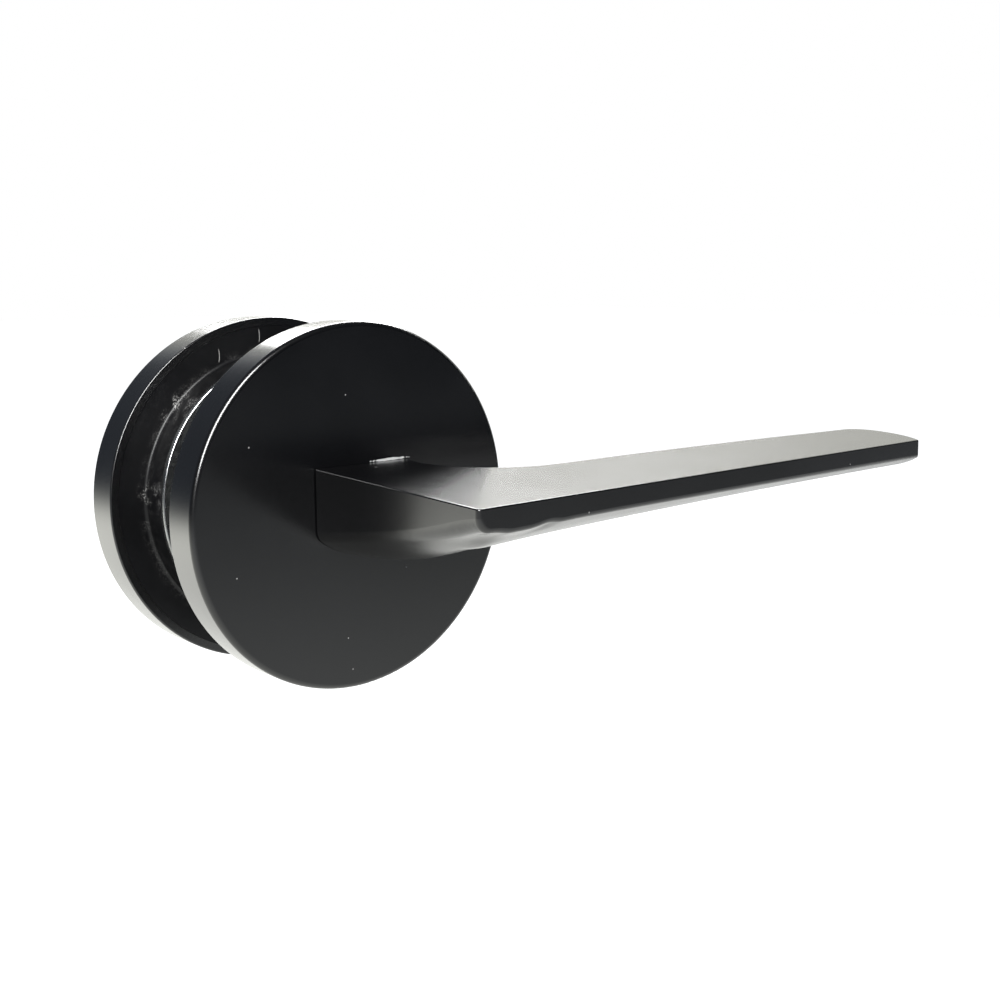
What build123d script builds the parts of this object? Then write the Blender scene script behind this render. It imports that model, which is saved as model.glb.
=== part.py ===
from build123d import *
import math
import os

os.makedirs("parts", exist_ok=True)

# Millimetres. The spindle runs along Y and the origin is midway between the roses' door faces.
# The lever half is on the -Y side, the blade points to +X and Z is up.

# Roses
rose_diameter = 65.0
rose_depth = 7.4
rose_wall = 1.5
rose_edge = 0.9
rim_edge = 0.3
door_gap = 21.3
boss_diameter = 51.6
boss_height = 6.2
boss_root = 0.8
closing_plate = 1.0
plate_edge = 0.35
base_floor = 3.2
pocket_radius = 16.6
cover_clearance = 0.05

# Lever
neck_width = 18.8
neck_taper = 1.1
neck_top = 7.6
neck_side = 4.5
neck_depth = 8.53
neck_gap = 0.3
lever_reach = 42.0
lever_length = 118.5
top_fall = 1.7
blade_fall = 0.6
band_height = 3.8
blade_belly = 3.57
root_belly = 1.68
root_run = 110.0
belly_run = 8.0
blade_root_width = 22.5
blade_middle_width = 21.5
blade_tip_width = 18.6
elbow_start = 4.0
elbow_run = 20.6
tip_corner = 5.5
tip_bulge = 1.2
tip_slant = 4.3
belly_blend = 0.9
neck_lift = 0.84
blade_fullness = 2.3
neck_fullness = 0.5
neck_sweep = 2.08
under_margin = 0.5
under_rows = 16
under_columns = 48
under_spread = 1.25
blank_margin = 4.0
lever_edge = 0.25
band_edge = 0.9
neck_edge = 2.6
shank_radius = 7.0
shank_root = 1.0
socket_depth = 17.0
socket_clearance = 0.03

# Spindle and its collar
spindle_size = 8.0
spindle_bore = 4.9
collar_radius = 7.0
collar_flange = 1.2
collar_lip = 2.0
collar_length = 1.7

# Bearings and clips
bush_length = 5.0
bush_radius = 8.6
hub_wall = 2.4
running_fit = 0.05
press_gap = 0.02
cover_hole_gap = 0.4
clip_thickness = 1.0
clip_groove = 0.8
clip_width = 2.2
clip_play = 0.15
clip_mouth = 4.0
groove_play = 0.1

# Return spring and its cam
wire_diameter = 1.1
coil_radius = 13.5
coil_pitch = 1.2
coil_whole_turns = 3
leg_length = 2.8
anchor_radius = 0.9
cam_thickness = 2.0
cam_radius = 10.5
cam_arm = 15.2
cam_arm_width = 5.0
cam_angle = 65.0
cam_flat = 5.6
lever_swing = 50.0
stop_gap = 2.0
stop_width = 24.0
stop_clearance = 1.5

# Bolts, posts and small screws
bolt_centres = 41.3
bolt_radius = 1.95
bolt_head_radius = 3.6
bolt_head = 2.4
bolt_seat = 3.0
bolt_hole_gap = 0.25
bolt_length = 24.5
post_radius = 3.2
post_flange_radius = 4.4
post_flange = 1.2
post_stand = 4.0
thread_gap = 0.05
screw_radius = 1.25
screw_head_radius = 2.4
screw_length = 4.6
screw_slot = 0.5
bolt_slot = 1.0
screw_circle = 21.2
snap_wire = 1.0
snap_mouth = 12.0
grub_radius = 2.45
grub_length = 4.0
grub_offset = 10.0
grub_height = 1.2
hex_size = 2.5
hex_depth = 1.8

# Privacy turn
turn_shank_radius = 5.0
turn_base_radius = 10.0
turn_base = 3.0
turn_height = 12.0
turn_width = 17.0
turn_thickness = 6.5
turn_edge = 1.2
turn_gap = 0.3
bar_width = 4.4
bar_thickness = 1.8
bar_depth = 5.0
bar_reach = 8.0
bar_clearance = 0.05
ring_section = 1.5
ring_inset = 2.5
shank_end_gap = 0.4

# How far cuts run past the metal, and how closely an edge is matched when it is picked
cut_over = 1.0
edge_match = 0.01

# Places along the spindle
near_back = -door_gap / 2
near_front = near_back - rose_depth
near_seat = near_front + rose_wall
near_floor = near_seat + base_floor
near_boss_end = near_back + boss_height
near_plate = near_boss_end - closing_plate
far_back = door_gap / 2
far_front = far_back + rose_depth
far_seat = far_front - rose_wall
far_floor = far_seat - base_floor
far_boss_end = far_back - boss_height
far_plate = far_boss_end + closing_plate
near_bush_end = near_seat + bush_length
far_bush_end = far_seat - bush_length
near_clip = near_bush_end + clip_play
far_clip = far_bush_end - clip_play
cover_radius = rose_diameter / 2
cover_inner = cover_radius - rose_wall
base_radius = cover_inner - cover_clearance
boss_radius = boss_diameter / 2
hub_radius = bush_radius + hub_wall
bolt_height = bolt_centres / 2
snap_radius = cover_inner - snap_wire / 2 - press_gap
near_rim_middle = (near_back + near_seat) / 2
far_rim_middle = (far_back + far_seat) / 2
ring_radius = turn_shank_radius + press_gap - ring_section / 2

# Places along the lever, measured out from the near rose's front face
neck_half = neck_width / 2
mitre_x = -neck_half + neck_taper
reach_slope = top_fall / lever_reach
blade_slope = blade_fall / (lever_length - mitre_x)
band_low = neck_top - top_fall - band_height
blade_middle = lever_reach - blade_root_width / 2
blank_height = neck_depth + neck_top + 2 * blank_margin
shank_end = near_plate - shank_end_gap
cam_start = shank_end - cam_thickness
spindle_start = near_front - socket_depth + shank_end_gap
turn_shank_end = far_clip - clip_thickness - shank_end_gap
spindle_end = turn_shank_end - shank_end_gap
socket_size = spindle_size + 2 * socket_clearance

# The cam's arm, its stops and the spring's legs, as angles from +X towards +Z
coil_start = near_floor + press_gap
stop_start = cam_start - running_fit
stop_inner = cam_radius + stop_clearance
arm_half = math.degrees(cam_arm_width / 2 / stop_inner)
rest_stop = cam_angle + arm_half + stop_gap + stop_width / 2
full_stop = cam_angle - lever_swing - arm_half - stop_gap - stop_width / 2
leg_gap = math.degrees((cam_arm_width / 2 + wire_diameter / 2 + running_fit) / coil_radius)
leg_angle = cam_angle - leg_gap
anchor_angle = 90.0 + math.degrees((anchor_radius + wire_diameter / 2 + running_fit) / coil_radius)
coil_turns = coil_whole_turns + ((90.0 - leg_angle) % 360) / 360


def lever_point(x, out):
    return (x, near_front - out)


def top_height(x, out):
    return neck_top - reach_slope * out - blade_slope * (x - mitre_x)


def hull(share, fullness):
    return (math.sqrt(1 + (fullness * share) ** 2) - 1) / (math.sqrt(1 + fullness**2) - 1)


def under_height(x, out):
    along = out / lever_reach
    neck_end = band_low + neck_lift
    side = -neck_side + (neck_end + neck_side) * along
    low = -neck_depth + (neck_end + neck_depth) * max(along, 0.0) ** neck_sweep
    past = max(x - neck_half, 0.0)
    neck = side - (side - low) * (1 - hull(x / neck_half, neck_fullness))
    neck += past**2 / (past + neck_width)
    opened = min(max((x - mitre_x) / belly_run, 0.0), 1.0)
    opened = opened**3 * (6 * opened**2 - 15 * opened + 10)
    rooted = min(max(1 - (x - mitre_x) / root_run, 0.0), 1.0)
    across = (out - blade_middle) / (blade_root_width / 2)
    deep = blade_belly + root_belly * rooted**2
    belly = deep * opened * (1 - hull(across, blade_fullness))
    blade = top_height(x, out) - band_height - belly
    return (neck + blade - math.hypot(neck - blade, belly_blend)) / 2


# Lever: neck, blade and shank in one casting
under_wires = []
for row in range(under_rows):
    out = row * (lever_reach + under_margin) / (under_rows - 1)
    points = []
    for column in range(under_columns):
        span = lever_length + neck_half + 2 * under_margin
        x = -neck_half - under_margin + span * (column / (under_columns - 1)) ** under_spread
        points.append((x, near_front - out, under_height(x, out)))
    steps = [column / (under_columns - 1) for column in range(under_columns)]
    under_wires.append(Wire([Edge.make_spline(points, parameters=steps)]))
underside = Shell.make_loft(under_wires).faces()[0]

with BuildPart() as lever_handle:
    with BuildSketch(Plane.XY.offset(-neck_depth - blank_margin)):
        with BuildLine():
            left_start = lever_point(-neck_half, neck_gap)
            mitre = lever_point(mitre_x, lever_reach)
            tip_front = lever_point(lever_length - tip_slant, lever_reach)
            tip_back = lever_point(lever_length, lever_reach - blade_tip_width + tip_corner)
            tip_middle = lever_point(
                lever_length - tip_slant / 2 + tip_bulge,
                lever_reach - (blade_tip_width - tip_corner) / 2 + tip_bulge / 2,
            )
            back_end = lever_point(lever_length - tip_corner, lever_reach - blade_tip_width)
            elbow_end = lever_point(neck_half + elbow_run, lever_reach - blade_root_width)
            back_middle = lever_point(
                (lever_length - tip_corner + neck_half + elbow_run) / 2,
                lever_reach - blade_middle_width,
            )
            right_end = lever_point(neck_half, elbow_start)
            right_start = lever_point(neck_half, neck_gap)
            Line(left_start, mitre)
            Line(mitre, tip_front)
            ThreePointArc(tip_front, tip_middle, tip_back)
            corner_x = lever_length - tip_corner * (1 - math.sqrt(0.5))
            corner_out = lever_reach - blade_tip_width + tip_corner * (1 - math.sqrt(0.5))
            ThreePointArc(tip_back, lever_point(corner_x, corner_out), back_end)
            ThreePointArc(back_end, back_middle, elbow_end)
            EllipticalCenterArc(
                lever_point(neck_half + elbow_run, elbow_start),
                elbow_run,
                lever_reach - blade_root_width - elbow_start,
                start_angle=180,
                arc_size=90,
            )
            Line(right_end, right_start)
            Line(right_start, left_start)
        make_face()
    extrude(amount=blank_height)
    top_plane = Plane(
        origin=(mitre_x, near_front, neck_top), z_dir=(blade_slope, -reach_slope, 1)
    )
    split(bisect_by=top_plane, keep=Keep.BOTTOM)
    extrude(underside, amount=blank_height, dir=(0, 0, -1), mode=Mode.SUBTRACT)
    neck_back = near_front - neck_gap - edge_match
    left_face = lever_handle.faces().sort_by(Axis.X)[0]
    left_low = left_face.edges().filter_by(lambda e: e.center().Y < neck_back).sort_by(Axis.Z)[0]
    fillet(left_low, neck_edge)
    front_face = lever_handle.faces().sort_by(Axis.Y)[0]
    fillet(front_face.edges().sort_by(Axis.Z)[0], band_edge)
    front_face = lever_handle.faces().sort_by(Axis.Y)[0]
    top_face = lever_handle.faces().sort_by(Axis.Z)[-1]
    top_edges = top_face.edges().filter_by(lambda e: e.center().Y < neck_back)
    fillet(top_edges + front_face.edges().sort_by(Axis.Z)[1:], lever_edge)
    with BuildSketch(Plane.XZ.offset(-(near_front - neck_gap - shank_root))):
        Circle(shank_radius)
    extrude(amount=-(shank_end - near_front + neck_gap + shank_root))
    with BuildSketch(Plane.XZ.offset(-near_clip)):
        Circle(shank_radius + cut_over)
        Circle(shank_radius - clip_groove, mode=Mode.SUBTRACT)
    extrude(amount=-(clip_thickness + groove_play), mode=Mode.SUBTRACT)
    with BuildSketch(Plane.XZ.offset(-cam_start)):
        Rectangle(2 * (shank_radius + cut_over), 2 * (shank_radius + cut_over))
        Rectangle(2 * cam_flat, 4 * shank_radius, mode=Mode.SUBTRACT)
    extrude(amount=-(shank_end - cam_start + cut_over), mode=Mode.SUBTRACT)
    with BuildSketch(Plane.XZ.offset(-shank_end)):
        Rectangle(socket_size, socket_size)
    extrude(amount=shank_end - near_front + socket_depth, mode=Mode.SUBTRACT)
    with BuildSketch(Plane.YZ):
        with Locations((near_front - grub_offset, grub_height)):
            Circle(grub_radius + thread_gap)
    extrude(amount=neck_half + elbow_run, mode=Mode.SUBTRACT)
lever_handle.part.label = "lever_handle"
export_step(lever_handle.part, "parts/lever_handle.step")

# Near rose: the cup that shows
with BuildPart() as near_rose_cover:
    with BuildSketch(Plane.XZ.offset(-near_back)):
        Circle(cover_radius)
    extrude(amount=rose_depth)
    fillet(near_rose_cover.edges().group_by(Axis.Y)[0], rose_edge)
    with BuildSketch(Plane.XZ.offset(-near_back)):
        Circle(cover_inner)
    extrude(amount=rose_depth - rose_wall, mode=Mode.SUBTRACT)
    with BuildSketch(Plane.XZ.offset(-near_back)):
        Circle(shank_radius + cover_hole_gap)
    extrude(amount=rose_depth, mode=Mode.SUBTRACT)
    rim = near_rose_cover.edges().group_by(Axis.Y)[-1].sort_by(SortBy.LENGTH)[-1]
    fillet(rim, rim_edge)
near_rose_cover.part.label = "near_rose_cover"
export_step(near_rose_cover.part, "parts/near_rose_cover.step")

# Near base: fills the cup and carries the boss, the bearing and the spring's pocket
with BuildPart() as near_base_plate:
    with BuildSketch(Plane.XZ.offset(-near_back)):
        Circle(base_radius)
    extrude(amount=near_back - near_seat)
    with BuildSketch(Plane.XZ.offset(-near_plate)):
        Circle(boss_radius)
    extrude(amount=near_plate - near_back)
    boss_edges = near_base_plate.edges().filter_by(GeomType.CIRCLE)
    boss_edges = boss_edges.filter_by(lambda e: abs(e.radius - boss_radius) < edge_match)
    fillet(boss_edges.sort_by(Axis.Y)[0], boss_root)
    with BuildSketch(Plane.XZ.offset(-near_plate)):
        Circle(pocket_radius)
    extrude(amount=near_plate - near_floor, mode=Mode.SUBTRACT)
    with BuildSketch(Plane.XZ.offset(-near_bush_end)):
        Circle(hub_radius)
    extrude(amount=near_bush_end - near_floor)
    with BuildSketch(Plane.XZ.offset(-near_bush_end)):
        Circle(bush_radius + press_gap)
    extrude(amount=bush_length, mode=Mode.SUBTRACT)
    for middle in (rest_stop, full_stop):
        with BuildSketch(Plane.XZ.offset(-near_plate)):
            Circle(pocket_radius + cut_over)
            Circle(stop_inner, mode=Mode.SUBTRACT)
            with BuildLine():
                stop_a = PolarLine((0, 0), 2 * pocket_radius, middle - stop_width / 2)
                stop_b = PolarLine((0, 0), 2 * pocket_radius, middle + stop_width / 2)
                Line(stop_a @ 1, stop_b @ 1)
            make_face(mode=Mode.INTERSECT)
        extrude(amount=near_plate - stop_start)
    with BuildSketch(Plane.XZ.offset(-(coil_start + wire_diameter))):
        with PolarLocations(coil_radius + leg_length - anchor_radius, 1, anchor_angle):
            Circle(anchor_radius)
    extrude(amount=coil_start + wire_diameter - near_floor)
    for bolt_z in (bolt_height, -bolt_height):
        with BuildSketch(Plane.XZ.offset(-near_plate)):
            with Locations((0, bolt_z)):
                Circle(post_radius + press_gap)
        extrude(amount=near_plate - near_seat, mode=Mode.SUBTRACT)
        with BuildSketch(Plane.XZ.offset(-near_seat)):
            with Locations((0, bolt_z)):
                Circle(post_flange_radius + press_gap)
        extrude(amount=-post_flange, mode=Mode.SUBTRACT)
    for screw_x in (screw_circle, -screw_circle):
        with BuildSketch(Plane.XZ.offset(-near_plate)):
            with Locations((screw_x, 0)):
                Circle(screw_radius + thread_gap)
        extrude(amount=screw_length, mode=Mode.SUBTRACT)
    with Locations(Location((0, near_rim_middle, 0), (90, 0, 0))):
        Torus(snap_radius, snap_wire / 2 + thread_gap, mode=Mode.SUBTRACT)
near_base_plate.part.label = "near_base_plate"
export_step(near_base_plate.part, "parts/near_base_plate.step")

# Near bush: plain bearing for the lever's shank
with BuildPart() as near_bush:
    with BuildSketch(Plane.XZ.offset(-near_bush_end)):
        Circle(bush_radius)
        Circle(shank_radius + running_fit, mode=Mode.SUBTRACT)
    extrude(amount=bush_length)
near_bush.part.label = "near_bush"
export_step(near_bush.part, "parts/near_bush.step")

# Lever circlip: open ring in the shank's groove
with BuildPart() as lever_circlip:
    with BuildSketch(Plane.XZ.offset(-(near_clip + clip_thickness))):
        Circle(shank_radius - clip_groove + running_fit + clip_width)
        Circle(shank_radius - clip_groove + running_fit, mode=Mode.SUBTRACT)
        with Locations((0, -shank_radius)):
            Rectangle(clip_mouth, 2 * shank_radius, mode=Mode.SUBTRACT)
    extrude(amount=clip_thickness)
lever_circlip.part.label = "lever_circlip"
export_step(lever_circlip.part, "parts/lever_circlip.step")

# Spring cam: plate on the shank's flats, with the arm that loads the spring
with BuildPart() as spring_cam:
    with BuildSketch(Plane.XZ.offset(-(cam_start + cam_thickness))):
        Circle(cam_radius)
        with Locations(Location((0, 0, 0), (0, 0, cam_angle))):
            with Locations((cam_arm / 2, 0)):
                Rectangle(cam_arm, cam_arm_width)
        with BuildSketch(mode=Mode.PRIVATE) as cam_hole:
            Circle(shank_radius + running_fit)
            Rectangle(2 * (cam_flat + running_fit), 4 * shank_radius, mode=Mode.INTERSECT)
        add(cam_hole.sketch, mode=Mode.SUBTRACT)
    extrude(amount=cam_thickness)
spring_cam.part.label = "spring_cam"
export_step(spring_cam.part, "parts/spring_cam.step")

# Return spring: torsion coil around the hub, one leg on the base and one on the cam's arm
with BuildPart() as return_spring:
    with BuildLine() as coil:
        Helix(
            pitch=coil_pitch,
            height=coil_pitch * coil_turns,
            radius=coil_radius,
            center=(0, coil_start + wire_diameter / 2, 0),
            direction=(0, 1, 0),
        )
    with BuildSketch(Plane(origin=coil.line @ 0, z_dir=coil.line % 0)):
        Circle(wire_diameter / 2)
    sweep(path=coil.line, is_frenet=True)
    with BuildSketch(Plane(origin=coil.line @ 0, z_dir=(0, 0, 1))):
        Circle(wire_diameter / 2)
    extrude(amount=leg_length)
    with BuildSketch(Plane(origin=coil.line @ 1, z_dir=(0, 1, 0))):
        Circle(wire_diameter / 2)
    extrude(amount=cam_start + cam_thickness - (coil.line @ 1).Y)
return_spring.part.label = "return_spring"
export_step(return_spring.part, "parts/return_spring.step")

# Near closing plate: steel disc over the spring's pocket
with BuildPart() as near_closing_plate:
    with BuildSketch(Plane.XZ.offset(-near_boss_end)):
        Circle(boss_radius)
    extrude(amount=closing_plate)
    fillet(near_closing_plate.edges().group_by(Axis.Y)[-1], plate_edge)
    with BuildSketch(Plane.XZ.offset(-near_boss_end)):
        Circle(collar_radius + running_fit)
        with Locations((0, bolt_height), (0, -bolt_height)):
            Circle(post_radius + bolt_hole_gap)
    extrude(amount=closing_plate, mode=Mode.SUBTRACT)
    for screw_x in (screw_circle, -screw_circle):
        with BuildSketch(Plane.XZ.offset(-near_boss_end)):
            with Locations((screw_x, 0)):
                Circle(screw_head_radius + thread_gap)
        with BuildSketch(Plane.XZ.offset(-near_plate)):
            with Locations((screw_x, 0)):
                Circle(screw_radius + thread_gap)
        loft(mode=Mode.SUBTRACT)
near_closing_plate.part.label = "near_closing_plate"
export_step(near_closing_plate.part, "parts/near_closing_plate.step")

# Near plate screws: two countersunk screws
with BuildPart() as near_plate_screws:
    for screw_x in (screw_circle, -screw_circle):
        with BuildSketch(Plane.XZ.offset(-near_boss_end)):
            with Locations((screw_x, 0)):
                Circle(screw_head_radius)
        with BuildSketch(Plane.XZ.offset(-near_plate)):
            with Locations((screw_x, 0)):
                Circle(screw_radius)
        loft()
        with BuildSketch(Plane.XZ.offset(-near_plate)):
            with Locations((screw_x, 0)):
                Circle(screw_radius)
        extrude(amount=screw_length - closing_plate)
        with BuildSketch(Plane.XZ.offset(-near_boss_end)):
            with Locations((screw_x, 0)):
                Rectangle(2 * screw_radius, screw_slot)
                Rectangle(screw_slot, 2 * screw_radius)
        extrude(amount=screw_slot, mode=Mode.SUBTRACT)
near_plate_screws.part.label = "near_plate_screws"
export_step(near_plate_screws.part, "parts/near_plate_screws.step")

# Near snap ring: open wire ring between the base's groove and the cover
with BuildPart() as near_snap_ring:
    with Locations(Location((0, near_rim_middle, 0), (90, 0, 0))):
        Torus(snap_radius, snap_wire / 2)
    with Locations((0, near_rim_middle, -snap_radius)):
        Box(snap_mouth, 2 * snap_wire, 4 * snap_wire, mode=Mode.SUBTRACT)
near_snap_ring.part.label = "near_snap_ring"
export_step(near_snap_ring.part, "parts/near_snap_ring.step")

# Bolt posts: two threaded posts set in the near base
with BuildPart() as bolt_posts:
    for bolt_z in (bolt_height, -bolt_height):
        with BuildSketch(Plane.XZ.offset(-(near_boss_end + post_stand))):
            with Locations((0, bolt_z)):
                Circle(post_radius)
        extrude(amount=near_boss_end + post_stand - near_seat)
        with BuildSketch(Plane.XZ.offset(-(near_seat + post_flange))):
            with Locations((0, bolt_z)):
                Circle(post_flange_radius)
        extrude(amount=post_flange)
        with BuildSketch(Plane.XZ.offset(-(near_boss_end + post_stand))):
            with Locations((0, bolt_z)):
                Circle(bolt_radius + thread_gap)
        extrude(amount=near_boss_end + post_stand - near_seat - post_flange, mode=Mode.SUBTRACT)
bolt_posts.part.label = "bolt_posts"
export_step(bolt_posts.part, "parts/bolt_posts.step")

# Grub screw: clamps the spindle in the lever's socket, from the neck's side under the blade
with BuildPart() as grub_screw:
    with BuildSketch(Plane.YZ.offset(spindle_size / 2)):
        with Locations((near_front - grub_offset, grub_height)):
            Circle(grub_radius)
    extrude(amount=grub_length)
    with BuildSketch(Plane.YZ.offset(spindle_size / 2 + grub_length)):
        with Locations((near_front - grub_offset, grub_height)):
            RegularPolygon(hex_size / 2, 6, major_radius=False)
    extrude(amount=-hex_depth, mode=Mode.SUBTRACT)
grub_screw.part.label = "grub_screw"
export_step(grub_screw.part, "parts/grub_screw.step")

# Latch spindle: hollow square bar from the lever into the far half
with BuildPart() as latch_spindle:
    with BuildSketch(Plane.XZ.offset(-spindle_end)):
        Rectangle(spindle_size, spindle_size)
        Circle(spindle_bore / 2, mode=Mode.SUBTRACT)
    extrude(amount=spindle_end - spindle_start)
latch_spindle.part.label = "latch_spindle"
export_step(latch_spindle.part, "parts/latch_spindle.step")

# Spindle collar: carries the spindle's far end in the far closing plate
with BuildPart() as spindle_collar:
    with BuildSketch(Plane.XZ.offset(-(far_plate + clip_play))):
        Circle(collar_radius)
    extrude(amount=collar_length)
    with BuildSketch(Plane.XZ.offset(-(far_plate + clip_play + collar_flange))):
        Circle(collar_radius + collar_lip)
    extrude(amount=collar_flange)
    with BuildSketch(Plane.XZ.offset(-(far_plate + clip_play + collar_flange))):
        Rectangle(socket_size, socket_size)
    extrude(amount=collar_flange + collar_length, mode=Mode.SUBTRACT)
spindle_collar.part.label = "spindle_collar"
export_step(spindle_collar.part, "parts/spindle_collar.step")

# Far rose: the same cup on the other side of the door
with BuildPart() as far_rose_cover:
    with BuildSketch(Plane.XZ.offset(-far_front)):
        Circle(cover_radius)
    extrude(amount=rose_depth)
    fillet(far_rose_cover.edges().group_by(Axis.Y)[-1], rose_edge)
    with BuildSketch(Plane.XZ.offset(-far_seat)):
        Circle(cover_inner)
    extrude(amount=rose_depth - rose_wall, mode=Mode.SUBTRACT)
    with BuildSketch(Plane.XZ.offset(-far_front)):
        Circle(turn_shank_radius + cover_hole_gap)
    extrude(amount=rose_depth, mode=Mode.SUBTRACT)
    far_rim = far_rose_cover.edges().group_by(Axis.Y)[0].sort_by(SortBy.LENGTH)[-1]
    fillet(far_rim, rim_edge)
far_rose_cover.part.label = "far_rose_cover"
export_step(far_rose_cover.part, "parts/far_rose_cover.step")

# Far base: the same casting, with seats for the bolt heads
with BuildPart() as far_base_plate:
    with BuildSketch(Plane.XZ.offset(-far_seat)):
        Circle(base_radius)
    extrude(amount=far_seat - far_back)
    with BuildSketch(Plane.XZ.offset(-far_back)):
        Circle(boss_radius)
    extrude(amount=far_back - far_plate)
    far_boss_edges = far_base_plate.edges().filter_by(GeomType.CIRCLE)
    far_boss_edges = far_boss_edges.filter_by(lambda e: abs(e.radius - boss_radius) < edge_match)
    fillet(far_boss_edges.sort_by(Axis.Y)[-1], boss_root)
    with BuildSketch(Plane.XZ.offset(-far_floor)):
        Circle(pocket_radius)
    extrude(amount=far_floor - far_plate, mode=Mode.SUBTRACT)
    with BuildSketch(Plane.XZ.offset(-far_floor)):
        Circle(hub_radius)
    extrude(amount=far_floor - far_bush_end)
    with BuildSketch(Plane.XZ.offset(-far_seat)):
        Circle(bush_radius + press_gap)
    extrude(amount=bush_length, mode=Mode.SUBTRACT)
    for bolt_z in (bolt_height, -bolt_height):
        with BuildSketch(Plane.XZ.offset(-far_seat)):
            with Locations((0, bolt_z)):
                Circle(bolt_radius + bolt_hole_gap)
        extrude(amount=far_seat - far_plate, mode=Mode.SUBTRACT)
        with BuildSketch(Plane.XZ.offset(-far_seat)):
            with Locations((0, bolt_z)):
                Circle(bolt_head_radius + bolt_hole_gap)
        extrude(amount=bolt_seat, mode=Mode.SUBTRACT)
    for screw_x in (screw_circle, -screw_circle):
        with BuildSketch(Plane.XZ.offset(-far_plate)):
            with Locations((screw_x, 0)):
                Circle(screw_radius + thread_gap)
        extrude(amount=-screw_length, mode=Mode.SUBTRACT)
    with Locations(Location((0, far_rim_middle, 0), (90, 0, 0))):
        Torus(snap_radius, snap_wire / 2 + thread_gap, mode=Mode.SUBTRACT)
far_base_plate.part.label = "far_base_plate"
export_step(far_base_plate.part, "parts/far_base_plate.step")

# Far bush: bearing for the turn's shank
with BuildPart() as far_bush:
    with BuildSketch(Plane.XZ.offset(-far_seat)):
        Circle(bush_radius)
        Circle(turn_shank_radius + running_fit, mode=Mode.SUBTRACT)
    extrude(amount=bush_length)
far_bush.part.label = "far_bush"
export_step(far_bush.part, "parts/far_bush.step")

# Far closing plate: bears the spindle's collar
with BuildPart() as far_closing_plate:
    with BuildSketch(Plane.XZ.offset(-far_plate)):
        Circle(boss_radius)
    extrude(amount=closing_plate)
    fillet(far_closing_plate.edges().group_by(Axis.Y)[0], plate_edge)
    with BuildSketch(Plane.XZ.offset(-far_plate)):
        Circle(collar_radius + running_fit)
        with Locations((0, bolt_height), (0, -bolt_height)):
            Circle(bolt_radius + bolt_hole_gap)
    extrude(amount=closing_plate, mode=Mode.SUBTRACT)
    for screw_x in (screw_circle, -screw_circle):
        with BuildSketch(Plane.XZ.offset(-far_boss_end)):
            with Locations((screw_x, 0)):
                Circle(screw_head_radius + thread_gap)
        with BuildSketch(Plane.XZ.offset(-far_plate)):
            with Locations((screw_x, 0)):
                Circle(screw_radius + thread_gap)
        loft(mode=Mode.SUBTRACT)
far_closing_plate.part.label = "far_closing_plate"
export_step(far_closing_plate.part, "parts/far_closing_plate.step")

# Far plate screws: two countersunk screws
with BuildPart() as far_plate_screws:
    for screw_x in (screw_circle, -screw_circle):
        with BuildSketch(Plane.XZ.offset(-far_boss_end)):
            with Locations((screw_x, 0)):
                Circle(screw_head_radius)
        with BuildSketch(Plane.XZ.offset(-far_plate)):
            with Locations((screw_x, 0)):
                Circle(screw_radius)
        loft()
        with BuildSketch(Plane.XZ.offset(-far_plate)):
            with Locations((screw_x, 0)):
                Circle(screw_radius)
        extrude(amount=-(screw_length - closing_plate))
        with BuildSketch(Plane.XZ.offset(-far_boss_end)):
            with Locations((screw_x, 0)):
                Rectangle(2 * screw_radius, screw_slot)
                Rectangle(screw_slot, 2 * screw_radius)
        extrude(amount=-screw_slot, mode=Mode.SUBTRACT)
far_plate_screws.part.label = "far_plate_screws"
export_step(far_plate_screws.part, "parts/far_plate_screws.step")

# Far snap ring: open wire ring between the base's groove and the cover
with BuildPart() as far_snap_ring:
    with Locations(Location((0, far_rim_middle, 0), (90, 0, 0))):
        Torus(snap_radius, snap_wire / 2)
    with Locations((0, far_rim_middle, -snap_radius)):
        Box(snap_mouth, 2 * snap_wire, 4 * snap_wire, mode=Mode.SUBTRACT)
far_snap_ring.part.label = "far_snap_ring"
export_step(far_snap_ring.part, "parts/far_snap_ring.step")

# Through bolts: heads seated in the far base, ends in the near posts
with BuildPart() as through_bolts:
    for bolt_z in (bolt_height, -bolt_height):
        with BuildSketch(Plane.XZ.offset(-(far_seat - bolt_seat))):
            with Locations((0, bolt_z)):
                Circle(bolt_radius)
        extrude(amount=bolt_length)
        with BuildSketch(Plane.XZ.offset(-(far_seat - bolt_seat))):
            with Locations((0, bolt_z)):
                Circle(bolt_head_radius)
        extrude(amount=-bolt_head)
        with BuildSketch(Plane.XZ.offset(-(far_seat - bolt_seat + bolt_head))):
            with Locations((0, bolt_z)):
                Rectangle(2 * bolt_radius, bolt_slot)
                Rectangle(bolt_slot, 2 * bolt_radius)
        extrude(amount=bolt_head / 2, mode=Mode.SUBTRACT)
through_bolts.part.label = "through_bolts"
export_step(through_bolts.part, "parts/through_bolts.step")

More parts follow.
